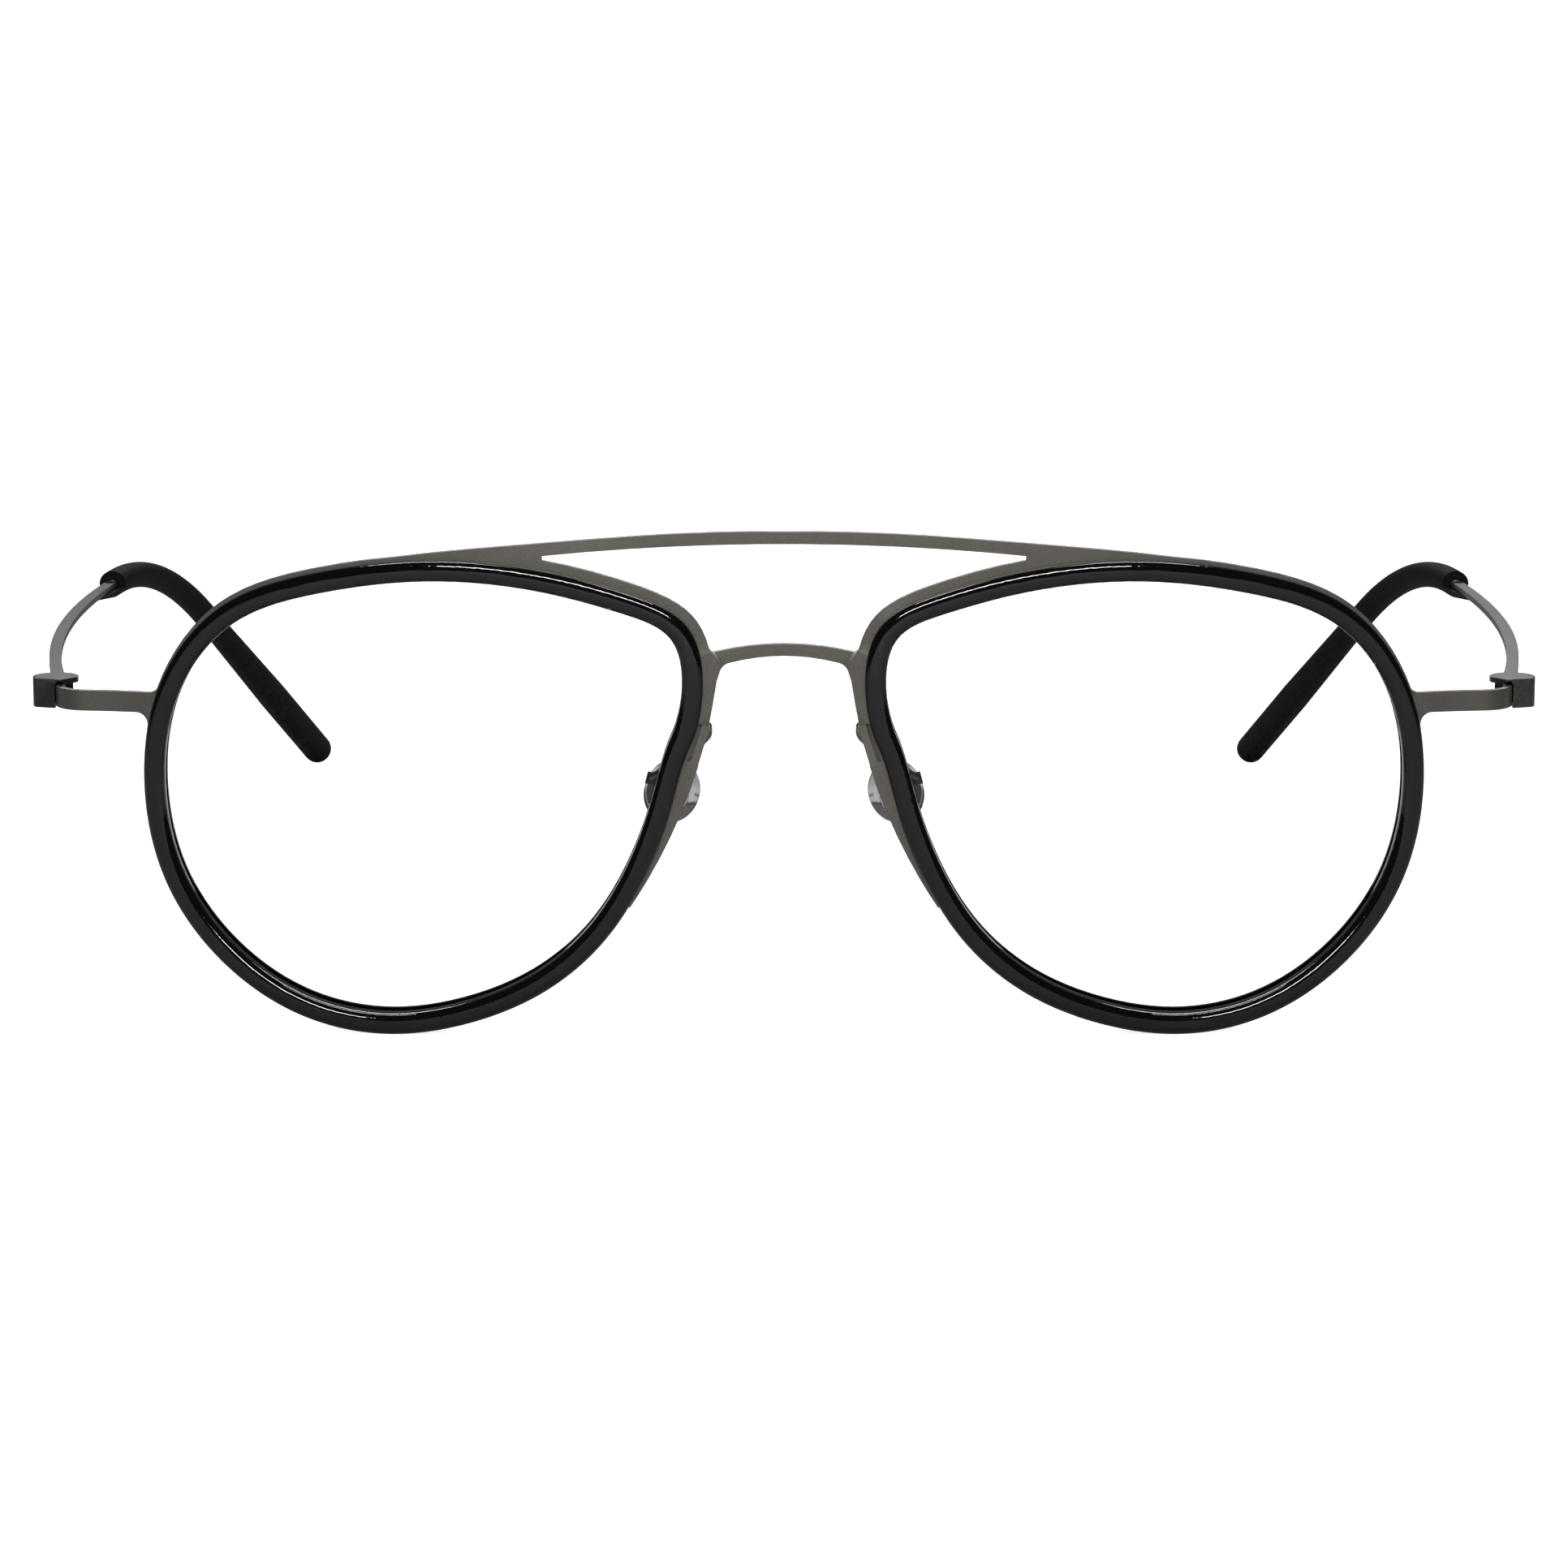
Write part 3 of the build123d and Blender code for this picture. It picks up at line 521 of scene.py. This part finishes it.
class GlassesStudio(bpy.types.PropertyGroup):
    """Camera and lights of the studio."""

    distance: bpy.props.FloatProperty(
        name="Camera Distance", description="From the camera to the front of the glasses",
        subtype="DISTANCE", unit="LENGTH", min=0.1, max=3.0, default=0.52,
    )
    elevation: bpy.props.FloatProperty(
        name="Camera Elevation", description="Angle above the horizontal", subtype="ANGLE",
        unit="ROTATION", min=-1.5, max=1.5, default=math.radians(11.0),
    )
    target_height: bpy.props.FloatProperty(
        name="Target Height", description="Height that the camera looks at", subtype="DISTANCE",
        unit="LENGTH", min=0.0, max=0.2, default=24.64 * MM,
    )
    focal_length: bpy.props.FloatProperty(
        name="Focal Length", description="On a 36 mm sensor", subtype="DISTANCE_CAMERA",
        min=10.0, max=300.0, default=126.93,
    )
    main_light: bpy.props.FloatProperty(
        name="Main Light", description="Power of the softbox above the camera", unit="POWER",
        min=0.0, max=100.0, default=4.5,
    )
    top_light: bpy.props.FloatProperty(
        name="Top Light", description="Power of the softbox overhead", unit="POWER",
        min=0.0, max=100.0, default=1.6,
    )
    back_light: bpy.props.FloatProperty(
        name="Back Light", description="Power of the softbox behind", unit="POWER",
        min=0.0, max=100.0, default=1.0,
    )
    ambient: bpy.props.FloatProperty(
        name="Ambient", description="Light from all round", subtype="FACTOR",
        min=0.0, max=2.0, default=0.2,
    )
    floor_glow: bpy.props.FloatProperty(
        name="Floor White", description="How far the floor is lifted to white where it is seen",
        subtype="FACTOR", min=0.0, max=1.0, default=0.92,
    )


# Operators


class GLASSES_OT_titanium(bpy.types.Operator):
    """Finish the front, the temples and the pad clips in matte titanium"""

    bl_idname = "glasses.titanium"
    bl_label = "Titanium Parts"

    def execute(self, context):
        finish = context.scene.glasses_finish
        front = titanium_material("Front Titanium", finish.titanium_color, finish)
        temple = titanium_material("Temple Titanium", finish.temple_color, finish)
        edge_break = finish.edge_break * MM
        smooth_copy("front_chassis", front, SHARP_METAL, edge_break)
        for side in SIDES:
            smooth_copy(f"pad_clip_{side}", front, SHARP_METAL, edge_break)
            smooth_copy(f"temple_{side}", temple, SHARP_METAL, edge_break)
        return {"FINISHED"}


class GLASSES_OT_inner_rims(bpy.types.Operator):
    """Finish the inner rims in polished black acetate"""

    bl_idname = "glasses.inner_rims"
    bl_label = "Inner Rims"

    def execute(self, context):
        acetate = acetate_material(context.scene.glasses_finish)
        for side in SIDES:
            smooth_copy(f"rim_{side}", acetate, SHARP_ACETATE)
        return {"FINISHED"}


class GLASSES_OT_lenses(bpy.types.Operator):
    """Make the lenses clear"""

    bl_idname = "glasses.lenses"
    bl_label = "Lenses"

    def execute(self, context):
        clear = lens_material(context.scene.glasses_finish)
        for side in SIDES:
            smooth_copy(f"lens_{side}", clear, SHARP_LENS)
        return {"FINISHED"}


class GLASSES_OT_temple_tips(bpy.types.Operator):
    """Finish the temple tips in matte black rubber"""

    bl_idname = "glasses.temple_tips"
    bl_label = "Temple Tips"

    def execute(self, context):
        rubber = rubber_material(context.scene.glasses_finish)
        for side in SIDES:
            smooth_copy(f"temple_tip_{side}", rubber, SHARP_SMALL)
        return {"FINISHED"}


class GLASSES_OT_nose_pads(bpy.types.Operator):
    """Make the silicone nose pads and their metal cores"""

    bl_idname = "glasses.nose_pads"
    bl_label = "Nose Pads"

    def execute(self, context):
        finish = context.scene.glasses_finish
        silicone = silicone_material(finish)
        core = satin_metal_material("Pad Core", finish.core_color, finish.core_roughness)
        for side in SIDES:
            smooth_copy(f"nose_pad_{side}", silicone, SHARP_SMALL)
            smooth_copy(f"pad_core_{side}", core, SHARP_SMALL)
        return {"FINISHED"}


class GLASSES_OT_pins(bpy.types.Operator):
    """Finish the hinge pins and the pad pins"""

    bl_idname = "glasses.pins"
    bl_label = "Pins"

    def execute(self, context):
        finish = context.scene.glasses_finish
        pin = satin_metal_material("Pin Metal", finish.pin_color, finish.pin_roughness)
        for side in SIDES:
            smooth_copy(f"hinge_pin_{side}", pin, SHARP_SMALL)
            smooth_copy(f"pad_pin_{side}", pin, SHARP_SMALL)
        return {"FINISHED"}


def add_softbox(name, place, aim, height, power):
    """A rectangular softbox at a place, turned towards its aim."""
    lamp = bpy.data.lights.new(name, "AREA")
    lamp.shape = "RECTANGLE"
    lamp.size = SOFTBOX_WIDTH
    lamp.size_y = height
    lamp.energy = power
    box = bpy.data.objects.new(name, lamp)
    box.location = place
    box.rotation_euler = (Vector(aim) - Vector(place)).to_track_quat("-Z", "Y").to_euler()
    bpy.context.scene.collection.objects.link(box)


class GLASSES_OT_stage(bpy.types.Operator):
    """Set the camera, the pale floor, the soft lights and the white surroundings"""

    bl_idname = "glasses.stage"
    bl_label = "Stage"

    def execute(self, context):
        scene = context.scene
        studio = scene.glasses_studio
        scene.view_settings.view_transform = "Standard"
        low = cad_bounds[0]
        target = Vector((0.0, low[1] + RIM_PROUD, studio.target_height))

        lens = bpy.data.cameras.new("Studio Camera")
        lens.sensor_width = SENSOR_WIDTH
        lens.lens = studio.focal_length
        lens.clip_start = CLIP_NEAR
        lens.clip_end = CLIP_FAR
        camera = bpy.data.objects.new("Studio Camera", lens)
        back = Vector((0.0, -math.cos(studio.elevation), math.sin(studio.elevation)))
        camera.location = target + back * studio.distance
        camera.rotation_euler = (math.radians(90.0) - studio.elevation, 0.0, 0.0)
        scene.collection.objects.link(camera)
        scene.camera = camera

        for name, setting, place, aim, height in SOFTBOXES:
            add_softbox(name, place, aim, height, getattr(studio, setting))

        floor_mesh = bpy.data.meshes.new("Studio Floor")
        bm = bmesh.new()
        bmesh.ops.create_grid(bm, x_segments=2, y_segments=2, size=FLOOR_HALF_WIDTH)
        bmesh.ops.translate(bm, verts=bm.verts, vec=(0.0, 0.0, low[2] - FLOOR_GAP))
        bm.to_mesh(floor_mesh)
        bm.free()
        floor = bpy.data.objects.new("Studio Floor", floor_mesh)
        scene.collection.objects.link(floor)
        floor_mesh.materials.append(white_floor_material(studio.floor_glow))
        white_world(scene, studio.ambient)
        return {"FINISHED"}


def seen_rays(nodes, links):
    """Mask of the rays that the camera sees, straight or through glass."""
    rays = nodes.new("ShaderNodeLightPath")
    bounced = nodes.new("ShaderNodeMath")
    bounced.use_clamp = True
    links.new(rays.outputs["Glossy Depth"], bounced.inputs[0])
    links.new(rays.outputs["Diffuse Depth"], bounced.inputs[1])
    through = nodes.new("ShaderNodeMath")
    through.operation = "SUBTRACT"
    through.use_clamp = True
    links.new(rays.outputs["Is Transmission Ray"], through.inputs[0])
    links.new(bounced.outputs[0], through.inputs[1])
    seen = nodes.new("ShaderNodeMath")
    seen.operation = "MAXIMUM"
    links.new(rays.outputs["Is Camera Ray"], seen.inputs[0])
    links.new(through.outputs[0], seen.inputs[1])
    return seen.outputs[0]


def gloss_rays(nodes, links):
    """Mask of the rays that a glossy surface has sent on."""
    rays = nodes.new("ShaderNodeLightPath")
    glossy = nodes.new("ShaderNodeMath")
    glossy.operation = "MINIMUM"
    glossy.inputs[1].default_value = 1.0
    links.new(rays.outputs["Glossy Depth"], glossy.inputs[0])
    return glossy.outputs[0]


def white_floor_material(glow_strength):
    """A white floor, lifted to full white where it is seen, that keeps a soft shadow."""
    material = bpy.data.materials.get("Studio White") or bpy.data.materials.new("Studio White")
    material.use_nodes = True
    nodes, links = material.node_tree.nodes, material.node_tree.links
    nodes.clear()
    output = nodes.new("ShaderNodeOutputMaterial")
    painted = nodes.new("ShaderNodeBsdfDiffuse")
    painted.inputs["Color"].default_value = FLOOR_PAINT
    glow = nodes.new("ShaderNodeEmission")
    glow.inputs["Strength"].default_value = glow_strength
    lit = nodes.new("ShaderNodeAddShader")
    shown = nodes.new("ShaderNodeMixShader")
    links.new(painted.outputs[0], lit.inputs[0])
    links.new(glow.outputs[0], lit.inputs[1])
    links.new(seen_rays(nodes, links), shown.inputs["Fac"])
    links.new(painted.outputs[0], shown.inputs[1])
    links.new(lit.outputs[0], shown.inputs[2])
    links.new(shown.outputs[0], output.inputs["Surface"])
    return material


def white_world(scene, ambient):
    """Surroundings, white where seen, a dim backdrop in gloss and plain light elsewhere."""
    world = bpy.data.worlds.get("Studio World") or bpy.data.worlds.new("Studio World")
    scene.world = world
    world.use_nodes = True
    nodes, links = world.node_tree.nodes, world.node_tree.links
    nodes.clear()
    output = nodes.new("ShaderNodeOutputWorld")
    air = nodes.new("ShaderNodeBackground")
    air.inputs["Color"].default_value = (1.0, 1.0, 1.0, 1.0)
    place = nodes.new("ShaderNodeTexCoord")
    parts = nodes.new("ShaderNodeSeparateXYZ")
    links.new(place.outputs["Generated"], parts.inputs[0])
    backdrop = nodes.new("ShaderNodeMapRange")
    backdrop.inputs["From Min"].default_value = BACKDROP_START
    backdrop.inputs["From Max"].default_value = BACKDROP_END
    backdrop.inputs["To Min"].default_value = BACKDROP_FRONT
    backdrop.inputs["To Max"].default_value = BACKDROP_BEHIND
    links.new(parts.outputs["Y"], backdrop.inputs["Value"])
    unseen = nodes.new("ShaderNodeMix")
    unseen.inputs["A"].default_value = ambient
    links.new(gloss_rays(nodes, links), unseen.inputs["Factor"])
    links.new(backdrop.outputs["Result"], unseen.inputs["B"])
    strength = nodes.new("ShaderNodeMix")
    strength.inputs["B"].default_value = 1.0
    links.new(seen_rays(nodes, links), strength.inputs["Factor"])
    links.new(unseen.outputs["Result"], strength.inputs["A"])
    links.new(strength.outputs["Result"], air.inputs["Strength"])
    links.new(air.outputs[0], output.inputs["Surface"])


class GLASSES_PT_panel(bpy.types.Panel):
    """Buttons and settings of the glasses"""

    bl_label = "Double Bridge Glasses"
    bl_idname = "GLASSES_PT_panel"
    bl_space_type = "VIEW_3D"
    bl_region_type = "UI"
    bl_category = "Glasses"

    def draw(self, context):
        layout = self.layout
        for step in STEPS:
            layout.operator(step.bl_idname)
        for settings in (context.scene.glasses_finish, context.scene.glasses_studio):
            box = layout.box()
            for name in settings.__annotations__:
                box.prop(settings, name)


STEPS = (
    GLASSES_OT_titanium,
    GLASSES_OT_inner_rims,
    GLASSES_OT_lenses,
    GLASSES_OT_temple_tips,
    GLASSES_OT_nose_pads,
    GLASSES_OT_pins,
    GLASSES_OT_stage,
)
CLASSES = (GlassesFinish, GlassesStudio, *STEPS, GLASSES_PT_panel)


def register():
    for kind in CLASSES:
        bpy.utils.register_class(kind)
    bpy.types.Scene.glasses_finish = bpy.props.PointerProperty(type=GlassesFinish)
    bpy.types.Scene.glasses_studio = bpy.props.PointerProperty(type=GlassesStudio)


def unregister():
    del bpy.types.Scene.glasses_studio
    del bpy.types.Scene.glasses_finish
    for kind in reversed(CLASSES):
        bpy.utils.unregister_class(kind)


def main():
    """Registers the add-on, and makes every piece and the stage."""
    register()
    bpy.ops.glasses.stage()
    bpy.ops.glasses.titanium()
    bpy.ops.glasses.inner_rims()
    bpy.ops.glasses.lenses()
    bpy.ops.glasses.temple_tips()
    bpy.ops.glasses.nose_pads()
    bpy.ops.glasses.pins()


if __name__ == "__main__":
    main()
